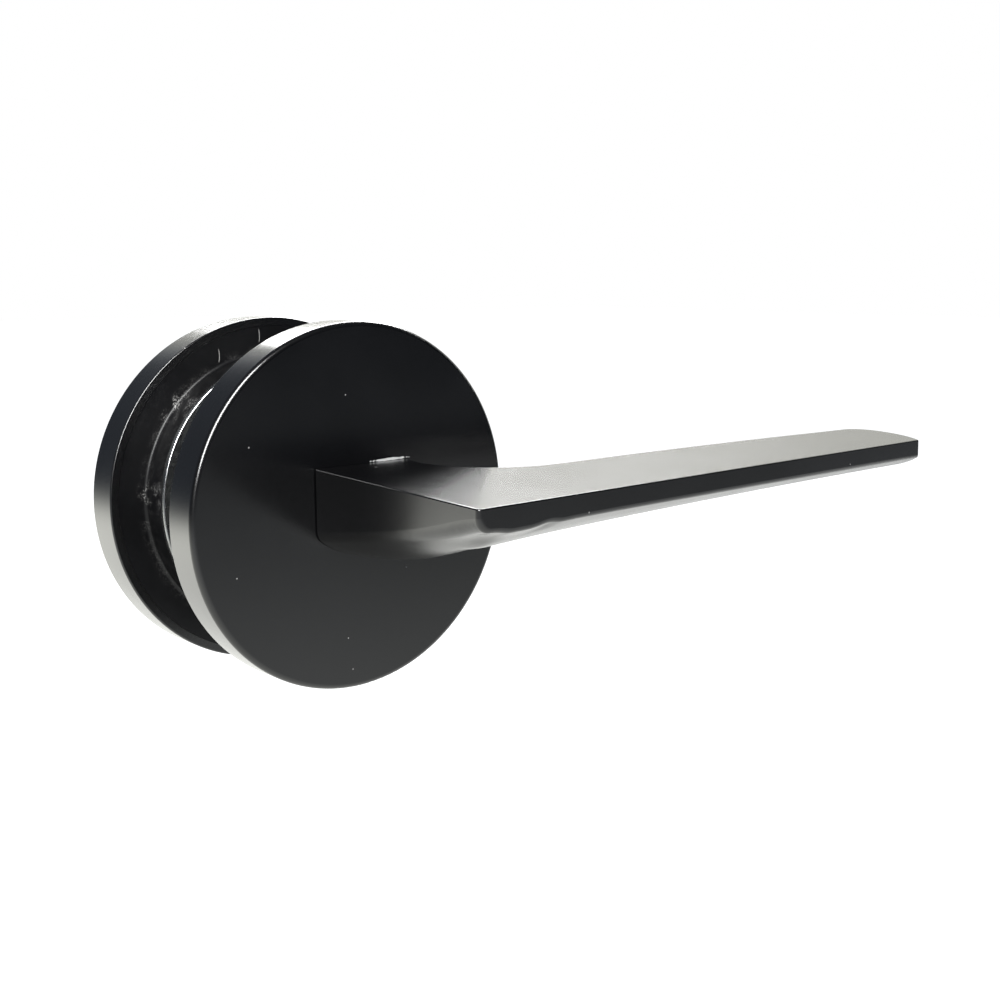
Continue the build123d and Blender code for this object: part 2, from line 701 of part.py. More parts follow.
# Privacy turn: thumb piece, round foot and shank in one piece
with BuildPart() as privacy_turn:
    with BuildSketch(Plane.XZ.offset(-(far_front + turn_gap + turn_base))):
        Circle(turn_base_radius)
    extrude(amount=turn_base)
    with BuildSketch(Plane.XZ.offset(-(far_front + turn_gap + turn_base))):
        SlotOverall(turn_width, turn_thickness, rotation=90)
    extrude(amount=-turn_height)
    soft = privacy_turn.edges().group_by(Axis.Y)[-1]
    fillet(soft, turn_edge)
    foot = privacy_turn.edges().filter_by(GeomType.CIRCLE)
    foot = foot.filter_by(lambda e: abs(e.radius - turn_base_radius) < edge_match)
    fillet(foot.sort_by(Axis.Y)[-1], turn_edge / 2)
    with BuildSketch(Plane.XZ.offset(-(far_front + turn_gap))):
        Circle(turn_shank_radius)
    extrude(amount=far_front + turn_gap - turn_shank_end)
    with BuildSketch(Plane.XZ.offset(-far_clip)):
        Circle(turn_shank_radius + cut_over)
        Circle(turn_shank_radius - clip_groove, mode=Mode.SUBTRACT)
    extrude(amount=clip_thickness + groove_play, mode=Mode.SUBTRACT)
    with Locations(Location((0, far_seat - ring_inset, 0), (90, 0, 0))):
        Torus(ring_radius, ring_section / 2 + thread_gap, mode=Mode.SUBTRACT)
    with BuildSketch(Plane.XZ.offset(-turn_shank_end)):
        Rectangle(bar_width + 2 * bar_clearance, bar_thickness + 2 * bar_clearance)
    extrude(amount=-bar_depth, mode=Mode.SUBTRACT)
privacy_turn.part.label = "privacy_turn"
export_step(privacy_turn.part, "parts/privacy_turn.step")

# Turn circlip: open ring in the turn shank's groove
with BuildPart() as turn_circlip:
    with BuildSketch(Plane.XZ.offset(-far_clip)):
        Circle(turn_shank_radius - clip_groove + running_fit + clip_width)
        Circle(turn_shank_radius - clip_groove + running_fit, mode=Mode.SUBTRACT)
        with Locations((0, -turn_shank_radius)):
            Rectangle(clip_mouth, 2 * turn_shank_radius, mode=Mode.SUBTRACT)
    extrude(amount=clip_thickness)
turn_circlip.part.label = "turn_circlip"
export_step(turn_circlip.part, "parts/turn_circlip.step")

# Turn friction ring: rubber ring between the turn's shank and the far bush
with BuildPart() as turn_friction_ring:
    with Locations(Location((0, far_seat - ring_inset, 0), (90, 0, 0))):
        Torus(ring_radius, ring_section / 2)
turn_friction_ring.part.label = "turn_friction_ring"
export_step(turn_friction_ring.part, "parts/turn_friction_ring.step")

# Privacy bar: flat bar from the turn's shank into the hollow spindle
with BuildPart() as privacy_bar:
    with BuildSketch(Plane.XZ.offset(-(turn_shank_end + bar_depth))):
        Rectangle(bar_width, bar_thickness)
    extrude(amount=turn_shank_end + bar_depth + bar_reach)
privacy_bar.part.label = "privacy_bar"
export_step(privacy_bar.part, "parts/privacy_bar.step")
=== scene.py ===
import math

import bmesh
import bpy
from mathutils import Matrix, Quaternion, Vector


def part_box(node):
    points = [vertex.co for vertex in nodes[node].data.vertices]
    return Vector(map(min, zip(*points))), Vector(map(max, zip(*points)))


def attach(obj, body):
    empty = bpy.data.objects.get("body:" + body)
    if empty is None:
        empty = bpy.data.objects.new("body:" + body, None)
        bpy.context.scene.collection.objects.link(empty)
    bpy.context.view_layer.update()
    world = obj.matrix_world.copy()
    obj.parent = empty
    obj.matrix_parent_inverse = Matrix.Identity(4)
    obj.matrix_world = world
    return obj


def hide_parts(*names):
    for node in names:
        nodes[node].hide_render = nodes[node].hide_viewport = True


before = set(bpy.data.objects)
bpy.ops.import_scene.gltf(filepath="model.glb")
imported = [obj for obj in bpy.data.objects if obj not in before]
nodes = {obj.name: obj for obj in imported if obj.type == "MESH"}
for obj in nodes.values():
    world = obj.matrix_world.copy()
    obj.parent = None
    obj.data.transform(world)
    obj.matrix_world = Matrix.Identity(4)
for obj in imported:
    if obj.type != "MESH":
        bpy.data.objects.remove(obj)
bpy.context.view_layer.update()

# Base castings
# Two zinc castings that fill the roses and carry the bosses which go into the door's bore.
# They are sprayed black. Dust has stuck in the corner round each boss, and the far face is scratched.
mm = 0.001
boss_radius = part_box("far_closing_plate")[1].x
casting_black = (0.004, 0.004, 0.0045, 1.0)
casting_roughness = 0.32
casting_index = 1.45
casting_grain = 900.0
casting_bump = 0.06
casting_bump_depth = 0.02 * mm
noise_low = 0.3
noise_high = 0.7
cloud_scale = 70.0
cloud_dim = 0.75
cloud_pale = 1.3
cloud_dulling = 0.03
grain_dulling = 0.01
dust_grey = (0.42, 0.41, 0.39, 1.0)
dust_roughness = 0.8
dust_ring_radius = boss_radius + 0.7 * mm
dust_ring_width = 1.5 * mm
dust_patches = ((-19.9 * mm, 17.2 * mm), (-26.5 * mm, 2.2 * mm))
dust_patch_radius = 4.5 * mm
dust_elsewhere = 0.08
fleck_scale = 3600.0
fleck_low = 0.47
fleck_high = 0.62
lump_scale = 520.0
lump_low = 0.4
lump_high = 0.65
scratch_middles = ((-2.3 * mm, 29.1 * mm), (-10.7 * mm, 25.7 * mm))
scratch_length = 1.4 * mm
scratch_width = 0.1 * mm
scratch_bow = 90.0
scratch_full_part = 0.6


def place(tree, kind, sockets, **settings):
    """Adds a node, sets its options, then fills or links its sockets. Gives its outputs."""
    made = tree.nodes.new(kind)
    for name, value in settings.items():
        setattr(made, name, value)
    for name, value in sockets.items():
        if isinstance(value, bpy.types.NodeSocket):
            tree.links.new(value, made.inputs[name])
        else:
            made.inputs[name].default_value = value
    return made.outputs


def sum_of(tree, operation, first, second=0.0, third=0.0):
    """One arithmetic step on values."""
    return place(tree, "ShaderNodeMath", {0: first, 1: second, 2: third}, operation=operation)[0]


def ramp_of(tree, value, low, high, start=0.0, end=1.0):
    """A smooth step from start to end as value goes from low to high."""
    sockets = {"Value": value, "From Min": low, "From Max": high, "To Min": start, "To Max": end}
    return place(tree, "ShaderNodeMapRange", sockets, interpolation_type="SMOOTHSTEP")[0]


def colour_between(tree, share, first, second):
    """Mixes two colours."""
    return place(tree, "ShaderNodeMix", {0: share, 6: first, 7: second}, data_type="RGBA")[2]


def part_place(tree):
    """The surface point in the part's own frame."""
    return tree.nodes.new("ShaderNodeTexCoord").outputs["Object"]


def effect(name, takes, gives):
    """A shader node group with named inputs and outputs, and its two end nodes."""
    group = bpy.data.node_groups.new(name, "ShaderNodeTree")
    for socket, (kind, value) in takes.items():
        made = group.interface.new_socket(socket, in_out="INPUT", socket_type="NodeSocket" + kind)
        made.default_value = value
    for socket, kind in gives.items():
        group.interface.new_socket(socket, in_out="OUTPUT", socket_type="NodeSocket" + kind)
    given = group.nodes.new("NodeGroupInput").outputs
    result = group.nodes.new("NodeGroupOutput").inputs
    return group, given, result


def coat_effect():
    """Sprayed coat: cloudy colour and gloss with a fine grain."""
    takes = {
        "Colour": ("Color", casting_black),
        "Roughness": ("Float", casting_roughness),
        "Grain": ("Float", casting_grain),
    }
    gives = {"Colour": "Color", "Roughness": "Float", "Height": "Float"}
    group, given, result = effect("sprayed_coat", takes, gives)
    where = part_place(group)
    cloud = place(group, "ShaderNodeTexNoise", {"Vector": where, "Scale": cloud_scale, "Detail": 3.0})[0]
    grain = place(group, "ShaderNodeTexNoise", {"Vector": where, "Scale": given["Grain"], "Detail": 2.0})[0]
    pale = ramp_of(group, cloud, noise_low, noise_high, cloud_dim, cloud_pale)
    colour = place(
        group, "ShaderNodeVectorMath", {0: given["Colour"], "Scale": pale}, operation="SCALE"
    )[0]
    group.links.new(colour, result["Colour"])
    dull = ramp_of(group, cloud, noise_low, noise_high)
    dull = sum_of(group, "MULTIPLY_ADD", dull, cloud_dulling, given["Roughness"])
    dull = sum_of(group, "MULTIPLY_ADD", grain, grain_dulling, dull)
    group.links.new(dull, result["Roughness"])
    group.links.new(grain, result["Height"])
    return group


def ring_dust_effect():
    """Dust flecks in a ring about the spindle's axis, thicker round two places."""
    takes = {
        "Radius": ("Float", dust_ring_radius),
        "Width": ("Float", dust_ring_width),
        "Everywhere": ("Float", dust_elsewhere),
    }
    group, given, result = effect("ring_dust", takes, {"Mask": "Float"})
    where = part_place(group)
    across = place(group, "ShaderNodeSeparateXYZ", {"Vector": where})
    flat = place(group, "ShaderNodeCombineXYZ", {"X": across["X"], "Z": across["Z"]})[0]
    radius = place(group, "ShaderNodeVectorMath", {0: flat}, operation="LENGTH")["Value"]
    off = sum_of(group, "ABSOLUTE", sum_of(group, "SUBTRACT", radius, given["Radius"]))
    ring = ramp_of(group, off, given["Width"], 0.0)
    amount = given["Everywhere"]
    for patch_x, patch_z in dust_patches:
        away = place(
            group, "ShaderNodeVectorMath", {0: flat, 1: (patch_x, 0.0, patch_z)}, operation="DISTANCE"
        )["Value"]
        amount = sum_of(group, "ADD", amount, ramp_of(group, away, dust_patch_radius, 0.0))
    flecks = place(group, "ShaderNodeTexNoise", {"Vector": where, "Scale": fleck_scale, "Detail": 4.0})[0]
    flecks = ramp_of(group, flecks, fleck_low, fleck_high)
    lumps = place(group, "ShaderNodeTexNoise", {"Vector": where, "Scale": lump_scale, "Detail": 3.0})[0]
    lumps = ramp_of(group, lumps, lump_low, lump_high)
    both = sum_of(group, "MULTIPLY", flecks, lumps)
    caught = sum_of(group, "MULTIPLY", sum_of(group, "MULTIPLY", both, ring), amount)
    group.links.new(place(group, "ShaderNodeClamp", {"Value": caught})[0], result["Mask"])
    return group


def hairline_effect():
    """One fine scratch on a face across the spindle's axis, standing upright and a little bowed."""
    takes = {
        "Middle": ("Vector", (0.0, 0.0, 0.0)),
        "Length": ("Float", scratch_length),
        "Width": ("Float", scratch_width),
        "Bow": ("Float", scratch_bow),
    }
    group, given, result = effect("hairline", takes, {"Mask": "Float"})
    where = part_place(group)
    off = place(group, "ShaderNodeVectorMath", {0: where, 1: given["Middle"]}, operation="SUBTRACT")[0]
    off = place(group, "ShaderNodeSeparateXYZ", {"Vector": off})
    bend = sum_of(group, "MULTIPLY", sum_of(group, "MULTIPLY", off["Z"], off["Z"]), given["Bow"])
    side = sum_of(group, "ABSOLUTE", sum_of(group, "ADD", off["X"], bend))
    along = sum_of(group, "ABSOLUTE", off["Z"])
    thin = ramp_of(group, side, given["Width"], 0.0)
    full_length = sum_of(group, "MULTIPLY", given["Length"], scratch_full_part)
    short = ramp_of(group, along, given["Length"], full_length)
    group.links.new(sum_of(group, "MULTIPLY", thin, short), result["Mask"])
    return group


def new_finish(name):
    """An empty material, its tree and its shader's sockets."""
    finish = bpy.data.materials.new(name)
    finish.use_nodes = True
    return finish, finish.node_tree, finish.node_tree.nodes["Principled BSDF"].inputs


def grain_bump(tree, shader, height, strength, depth):
    """Leads a height to the shader's normal."""
    sockets = {"Strength": strength, "Distance": depth, "Height": height}
    tree.links.new(place(tree, "ShaderNodeBump", sockets)["Normal"], shader["Normal"])


def dress(finish, *names):
    """Gives a finish to solids that keep their shape."""
    for name in names:
        nodes[name].material_slots[0].material = finish


sprayed_coat = coat_effect()
ring_dust = ring_dust_effect()
hairline = hairline_effect()


def casting_finish(name, scratches):
    """Black sprayed casting with dust round its boss."""
    finish, tree, shader = new_finish(name)
    coat = place(
        tree,
        "ShaderNodeGroup",
        {"Colour": casting_black, "Roughness": casting_roughness, "Grain": casting_grain},
        node_tree=sprayed_coat,
    )
    marks = place(tree, "ShaderNodeGroup", {}, node_tree=ring_dust)["Mask"]
    for scratch_x, scratch_z in scratches:
        line = place(tree, "ShaderNodeGroup", {"Middle": (scratch_x, 0.0, scratch_z)}, node_tree=hairline)
        marks = sum_of(tree, "MAXIMUM", marks, line["Mask"])
    tree.links.new(colour_between(tree, marks, coat["Colour"], dust_grey), shader["Base Color"])
    rough = sum_of(tree, "SUBTRACT", dust_roughness, coat["Roughness"])
    tree.links.new(
        sum_of(tree, "MULTIPLY_ADD", marks, rough, coat["Roughness"]), shader["Roughness"]
    )
    shader["IOR"].default_value = casting_index
    grain_bump(tree, shader, coat["Height"], casting_bump, casting_bump_depth)
    return finish


dress(casting_finish("near_casting_black", ()), "near_base_plate")
dress(casting_finish("far_casting_black", scratch_middles), "far_base_plate")

# Bushes and spindle collar
# Turned from natural nylon rod. The bushes are pressed into the castings and carry the shanks,
# and the collar carries the spindle's far end in its closing plate.
nylon_cream = (0.72, 0.7, 0.64, 1.0)
nylon_shade = (0.58, 0.55, 0.47, 1.0)
nylon_mottle = 260.0
mottle_low = 0.35
mottle_high = 0.75
nylon_smooth = 0.38
nylon_rough = 0.55
tool_mark_scale = 900.0
tool_mark_wander = 1.5
tool_mark_bump = 0.12
tool_mark_depth = 0.02 * mm

nylon, tree, shader = new_finish("natural_nylon")
where = part_place(tree)
mottle = place(tree, "ShaderNodeTexNoise", {"Vector": where, "Scale": nylon_mottle, "Detail": 4.0})[0]
shaded = ramp_of(tree, mottle, mottle_low, mottle_high)
tree.links.new(colour_between(tree, shaded, nylon_cream, nylon_shade), shader["Base Color"])
rough = ramp_of(tree, mottle, noise_low, noise_high, nylon_smooth, nylon_rough)
tree.links.new(rough, shader["Roughness"])
tool_marks = place(
    tree,
    "ShaderNodeTexWave",
    {"Vector": where, "Scale": tool_mark_scale, "Distortion": tool_mark_wander},
    bands_direction="Y",
)[1]
grain_bump(tree, shader, tool_marks, tool_mark_bump, tool_mark_depth)
dress(nylon, "near_bush", "far_bush", "spindle_collar")

# Return spring, circlips and snap rings
# Drawn and stamped spring steel, blued by its heat treatment and left oily. The circlips keep the
# shanks in the castings, and the wire rings hold the roses on.
spring_blue = (0.11, 0.115, 0.13, 1.0)
spring_straw = (0.2, 0.175, 0.14, 1.0)
heat_scale = 180.0
heat_low = 0.35
heat_high = 0.7
oil_scale = 2200.0
oil_smooth = 0.26
oil_rough = 0.42
oil_bump = 0.08
oil_depth = 0.01 * mm

spring_steel, tree, shader = new_finish("oiled_spring_steel")
where = part_place(tree)
heat = place(tree, "ShaderNodeTexNoise", {"Vector": where, "Scale": heat_scale, "Detail": 3.0})[0]
heat = ramp_of(tree, heat, heat_low, heat_high)
tree.links.new(colour_between(tree, heat, spring_blue, spring_straw), shader["Base Color"])
streaks = place(tree, "ShaderNodeTexNoise", {"Vector": where, "Scale": oil_scale, "Detail": 2.0})[0]
rough = ramp_of(tree, streaks, noise_low, noise_high, oil_smooth, oil_rough)
tree.links.new(rough, shader["Roughness"])
shader["Metallic"].default_value = 1.0
grain_bump(tree, shader, streaks, oil_bump, oil_depth)
dress(spring_steel, "return_spring", "lever_circlip", "turn_circlip", "near_snap_ring", "far_snap_ring")

# Closing plates, cam and bolt posts
# Pressed and turned mild steel, bright zinc plated. The plates close the bosses, and the far one's
# bare edge is the bright line round the boss. The rings of the lathe show through the plating.
zinc_bright = (0.5, 0.51, 0.52, 1.0)
zinc_hazy = (0.36, 0.36, 0.34, 1.0)
zinc_roughness = 0.24
haze_scale = 210.0
haze_low = 0.4
haze_high = 0.72
haze_dulling = 0.14
lathe_pitch = 0.12 * mm
lathe_bump = 0.12
lathe_depth = 0.01 * mm


def plated_effect():
    """Bright zinc plate: patches of haze, and a gloss that varies with them."""
    takes = {
        "Bright": ("Color", zinc_bright),
        "Hazy": ("Color", zinc_hazy),
        "Roughness": ("Float", zinc_roughness),
    }
    gives = {"Colour": "Color", "Roughness": "Float"}
    group, given, result = effect("zinc_plate", takes, gives)
    where = part_place(group)
    haze = place(group, "ShaderNodeTexNoise", {"Vector": where, "Scale": haze_scale, "Detail": 5.0})[0]
    haze = ramp_of(group, haze, haze_low, haze_high)
    group.links.new(colour_between(group, haze, given["Bright"], given["Hazy"]), result["Colour"])
    dull = sum_of(group, "MULTIPLY_ADD", haze, haze_dulling, given["Roughness"])
    group.links.new(dull, result["Roughness"])
    return group


zinc_plate = plated_effect()


def plated_finish(name):
    """Zinc plated steel before any surface marks."""
    finish, tree, shader = new_finish(name)
    plate = place(tree, "ShaderNodeGroup", {}, node_tree=zinc_plate)
    tree.links.new(plate["Colour"], shader["Base Color"])
    tree.links.new(plate["Roughness"], shader["Roughness"])
    shader["Metallic"].default_value = 1.0
    return finish, tree, shader


turned_plate, tree, shader = plated_finish("turned_zinc_plate")
across = place(tree, "ShaderNodeSeparateXYZ", {"Vector": part_place(tree)})
flat = place(tree, "ShaderNodeCombineXYZ", {"X": across["X"], "Z": across["Z"]})[0]
radius = place(tree, "ShaderNodeVectorMath", {0: flat}, operation="LENGTH")["Value"]
rings = sum_of(tree, "SINE", sum_of(tree, "MULTIPLY", radius, 2 * math.pi / lathe_pitch))
grain_bump(tree, shader, rings, lathe_bump, lathe_depth)
dress(turned_plate, "near_closing_plate", "far_closing_plate", "spring_cam", "bolt_posts")

# Spindle and privacy bar
# Drawn steel bar, zinc plated: the square spindle is hollow, and the flat bar from the turn runs
# inside it. Drawing leaves fine lines along both.
drawn_stretch = (1.0, 0.04, 1.0)
drawn_line_scale = 4200.0
drawn_bump = 0.2
drawn_depth = 0.01 * mm

drawn_bar, tree, shader = plated_finish("drawn_zinc_bar")
stretched = place(tree, "ShaderNodeMapping", {"Vector": part_place(tree), "Scale": drawn_stretch})[0]
lines = place(tree, "ShaderNodeTexNoise", {"Vector": stretched, "Scale": drawn_line_scale, "Detail": 2.0})[0]
grain_bump(tree, shader, lines, drawn_bump, drawn_depth)
dress(drawn_bar, "latch_spindle", "privacy_bar")

# Plate screws and grub screw
# Small machine screws. Two countersunk ones hold each closing plate, and the socket grub screw
# in the neck's side clamps the lever to its spindle. The grub screw is blued, the others are plated.
screw_mark_scale = 1500.0
screw_mark_bump = 0.15
screw_mark_depth = 0.02 * mm

screw_plate, tree, shader = plated_finish("screw_zinc_plate")
where = part_place(tree)
marks = place(tree, "ShaderNodeTexNoise", {"Vector": where, "Scale": screw_mark_scale, "Detail": 3.0})[0]
grain_bump(tree, shader, marks, screw_mark_bump, screw_mark_depth)
dress(screw_plate, "near_plate_screws", "far_plate_screws")
dress(spring_steel, "grub_screw")

# Through bolts
# Two plated machine bolts with cross-recessed heads. They go in from the far casting, cross the
# door and screw into the near half's posts, so their threads show between the bosses.
bolt_low, bolt_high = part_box("through_bolts")
bolt_head_radius = bolt_high.x
bolt_centre_height = bolt_high.z - bolt_head_radius
bolt_head_height = 2.4 * mm
bolt_length = bolt_high.y - bolt_low.y - bolt_head_height
thread_radius = 1.95 * mm
thread_depth = 0.4 * mm
thread_pitch = 0.7 * mm
rows_per_pitch = 6
recess_width = 1.0 * mm
recess_depth = 1.2 * mm
bolt_sides = 32
merge_distance = 0.001 * mm


def bolt_tree():
    """Makes a threaded shank on a wrapped grid, adds the recessed head, and repeats the bolt."""
    tree = bpy.data.node_groups.new("threaded_bolts", "GeometryNodeTree")
    sizes = {
        "Thread Radius": thread_radius,
        "Thread Depth": thread_depth,
        "Thread Pitch": thread_pitch,
        "Shank Length": bolt_length,
        "Head Radius": bolt_head_radius,
        "Head Height": bolt_head_height,
        "Recess Width": recess_width,
        "Recess Depth": recess_depth,
        "Centre Height": bolt_centre_height,
    }
    for name in sizes:
        tree.interface.new_socket(name, in_out="INPUT", socket_type="NodeSocketFloat")
    tree.interface.new_socket("Finish", in_out="INPUT", socket_type="NodeSocketMaterial")
    tree.interface.new_socket("Bolts", in_out="OUTPUT", socket_type="NodeSocketGeometry")
    given = tree.nodes.new("NodeGroupInput").outputs
    rows = rows_per_pitch * round(bolt_length / thread_pitch)
    grid = place(
        tree,
        "GeometryNodeMeshGrid",
        {"Size X": 1.0, "Size Y": 1.0, "Vertices X": bolt_sides + 1, "Vertices Y": rows + 1},
    )["Mesh"]
    spot = tree.nodes.new("GeometryNodeInputPosition").outputs[0]
    spot = place(tree, "ShaderNodeSeparateXYZ", {"Vector": spot})
    round_share = sum_of(tree, "ADD", spot["X"], 0.5)
    long_share = sum_of(tree, "ADD", spot["Y"], 0.5)
    along = sum_of(tree, "MULTIPLY", long_share, given["Shank Length"])
    turns = sum_of(tree, "SUBTRACT", sum_of(tree, "DIVIDE", along, given["Thread Pitch"]), round_share)
    groove = sum_of(tree, "PINGPONG", turns, 0.5)
    groove = sum_of(tree, "MULTIPLY", groove, sum_of(tree, "MULTIPLY", given["Thread Depth"], 2.0))
    crest = sum_of(tree, "SUBTRACT", given["Thread Radius"], groove)
    to_end = sum_of(tree, "SUBTRACT", given["Shank Length"], along)
    bevel = sum_of(tree, "SUBTRACT", given["Thread Radius"], given["Thread Depth"])
    crest = sum_of(tree, "MINIMUM", crest, sum_of(tree, "ADD", bevel, to_end))
    inside = sum_of(tree, "COMPARE", long_share, 0.5, 0.5 - 0.5 / rows)
    crest = sum_of(tree, "MULTIPLY", crest, inside)
    angle = sum_of(tree, "MULTIPLY", round_share, 2 * math.pi)
    wrapped = place(
        tree,
        "ShaderNodeCombineXYZ",
        {
            "X": sum_of(tree, "MULTIPLY", crest, sum_of(tree, "COSINE", angle)),
            "Y": sum_of(tree, "MULTIPLY", along, -1.0),
            "Z": sum_of(tree, "MULTIPLY", crest, sum_of(tree, "SINE", angle)),
        },
    )[0]
    shank = place(tree, "GeometryNodeSetPosition", {"Geometry": grid, "Position": wrapped})[0]
    shank = place(tree, "GeometryNodeMergeByDistance", {"Geometry": shank, "Distance": merge_distance})[0]
    drum = place(
        tree,
        "GeometryNodeMeshCylinder",
        {"Vertices": 2 * bolt_sides, "Radius": given["Head Radius"], "Depth": given["Head Height"]},
    )["Mesh"]
    half_head = sum_of(tree, "MULTIPLY", given["Head Height"], 0.5)
    head_place = place(tree, "ShaderNodeCombineXYZ", {"Y": half_head})[0]
    quarter = (math.pi / 2, 0.0, 0.0)
    head = place(
        tree,
        "GeometryNodeTransform",
        {"Geometry": drum, "Translation": head_place, "Rotation": quarter},
    )[0]
    recess_place = place(tree, "ShaderNodeCombineXYZ", {"Y": given["Head Height"]})[0]
    deep = sum_of(tree, "MULTIPLY", given["Recess Depth"], 2.0)
    wide = sum_of(tree, "MULTIPLY", given["Thread Radius"], 2.0)
    bolt = head
    for across, upright in ((wide, given["Recess Width"]), (given["Recess Width"], wide)):
        size = place(tree, "ShaderNodeCombineXYZ", {"X": across, "Y": deep, "Z": upright})[0]
        bar = place(tree, "GeometryNodeMeshCube", {"Size": size})["Mesh"]
        bar = place(tree, "GeometryNodeTransform", {"Geometry": bar, "Translation": recess_place})[0]
        bolt = place(
            tree, "GeometryNodeMeshBoolean", {"Mesh 1": bolt, "Mesh 2": bar}, operation="DIFFERENCE"
        )["Mesh"]
    whole = place(tree, "GeometryNodeJoinGeometry", {"Geometry": bolt})
    tree.links.new(shank, whole[0].node.inputs[0])
    low = sum_of(tree, "MULTIPLY", given["Centre Height"], -1.0)
    spots = place(
        tree,
        "GeometryNodeMeshLine",
        {
            "Count": 2,
            "Start Location": place(tree, "ShaderNodeCombineXYZ", {"Z": low})[0],
            "Offset": place(
                tree, "ShaderNodeCombineXYZ", {"Z": sum_of(tree, "MULTIPLY", given["Centre Height"], 2.0)}
            )[0],
        },
    )["Mesh"]
    pair = place(tree, "GeometryNodeInstanceOnPoints", {"Points": spots, "Instance": whole[0]})[0]
    pair = place(tree, "GeometryNodeRealizeInstances", {"Geometry": pair})[0]
    pair = place(tree, "GeometryNodeSetMaterial", {"Geometry": pair, "Material": given["Finish"]})[0]
    tree.links.new(pair, tree.nodes.new("NodeGroupOutput").inputs[0])
    return tree, sizes


def baked(name, tree, sizes, finish, offset):
    """Runs a tree once and keeps its result as a plain mesh at the origin."""
    maker = bpy.data.objects.new(name + "_maker", bpy.data.meshes.new(name + "_maker"))
    bpy.context.scene.collection.objects.link(maker)
    modifier = maker.modifiers.new("maker", "NODES")
    modifier.node_group = tree
    for item in tree.interface.items_tree:
        if item.in_out == "INPUT":
            modifier[item.identifier] = finish if item.name == "Finish" else sizes[item.name]
    graph = bpy.context.evaluated_depsgraph_get()
    mesh = bpy.data.meshes.new_from_object(maker.evaluated_get(graph))
    bpy.data.objects.remove(maker)
    shape = bmesh.new()
    shape.from_mesh(mesh)
    bmesh.ops.translate(shape, verts=shape.verts, vec=offset)
    bmesh.ops.recalc_face_normals(shape, faces=shape.faces)
    shape.to_mesh(mesh)
    shape.free()
    mesh.name = name
    piece = bpy.data.objects.new(name, mesh)
    bpy.context.scene.collection.objects.link(piece)
    return piece


bolts_tree, bolt_sizes = bolt_tree()
head_seat = Vector((0.0, bolt_high.y - bolt_head_height, 0.0))
threaded_bolts = baked("threaded_bolts", bolts_tree, bolt_sizes, screw_plate, head_seat)
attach(threaded_bolts, "roses")
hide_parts("through_bolts")

# Roses
# Pressed cups that snap over the castings, coated in satin black, the far one a little hazier. They
# carry dust specks, and the near one has a painted glint: a ragged white streak just above the
# neck's top, where the joint catches the light.
satin_black = (0.002, 0.002, 0.0023, 1.0)
satin_roughness = 0.235
rose_roughness = 0.2
hazy_roughness = 0.235
satin_grain = 2600.0
satin_index = 1.9
clear_coat = 0.3
clear_coat_roughness = 0.18
satin_bump = 0.008
satin_bump_depth = 0.01 * mm
# A painted glint on the near rose: a ragged white streak just above the neck's top.
glint_white = (0.55, 0.55, 0.53, 1.0)
glint_roughness = 0.55
glint_ragged = 1.5
glint_tear_scale = 1100.0
glint_edge = 0.85
glint_middle = (6.0 * mm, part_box("near_rose_cover")[0].y, 7.75 * mm)
glint_size = (4.2 * mm, 0.6 * mm, 0.24 * mm)
speck_spacing = 55.0
speck_size = 0.011
speck_share = 0.5
speck_slant_level = 0.43
speck_slant_up = 0.61


def specks_effect():
    """Sparse dust specks, seen along a slanting line so that every face has some."""
    takes = {
        "Spacing": ("Float", speck_spacing),
        "Size": ("Float", speck_size),
        "Share": ("Float", speck_share),
    }
    group, given, result = effect("dust_specks", takes, {"Mask": "Float"})
    where = place(group, "ShaderNodeSeparateXYZ", {"Vector": part_place(group)})
    level = sum_of(group, "MULTIPLY_ADD", where["Y"], speck_slant_level, where["X"])
    upright = sum_of(group, "MULTIPLY_ADD", where["Y"], speck_slant_up, where["Z"])
    slant = place(group, "ShaderNodeCombineXYZ", {"X": level, "Y": upright})[0]
    cells = place(
        group, "ShaderNodeTexVoronoi", {"Vector": slant, "Scale": given["Spacing"]}, voronoi_dimensions="2D"
    )
    near = ramp_of(group, cells["Distance"], given["Size"], 0.0)
    chosen = place(group, "ShaderNodeSeparateColor", {"Color": cells["Color"]})[0]
    chosen = sum_of(group, "LESS_THAN", chosen, given["Share"])
    group.links.new(sum_of(group, "MULTIPLY", near, chosen), result["Mask"])
    return group


def painted_glint_effect():
    """One long white streak with a ragged edge: a painted glint."""
    takes = {
        "Middle": ("Vector", (0.0, 0.0, 0.0)),
        "Size": ("Vector", (1.0, 1.0, 1.0)),
        "Ragged": ("Float", glint_ragged),
    }
    group, given, result = effect("ragged_painted_glint", takes, {"Mask": "Float"})
    where = part_place(group)
    off = place(group, "ShaderNodeVectorMath", {0: where, 1: given["Middle"]}, operation="SUBTRACT")[0]
    off = place(group, "ShaderNodeVectorMath", {0: off, 1: given["Size"]}, operation="DIVIDE")[0]
    away = place(group, "ShaderNodeVectorMath", {0: off}, operation="LENGTH")["Value"]
    torn = place(group, "ShaderNodeTexNoise", {"Vector": where, "Scale": glint_tear_scale, "Detail": 3.0})[0]
    torn = sum_of(group, "MULTIPLY", sum_of(group, "SUBTRACT", torn, 0.5), given["Ragged"])
    group.links.new(ramp_of(group, sum_of(group, "ADD", away, torn), 1.0, glint_edge), result["Mask"])
    return group


dust_specks = specks_effect()
ragged_painted_glint = painted_glint_effect()


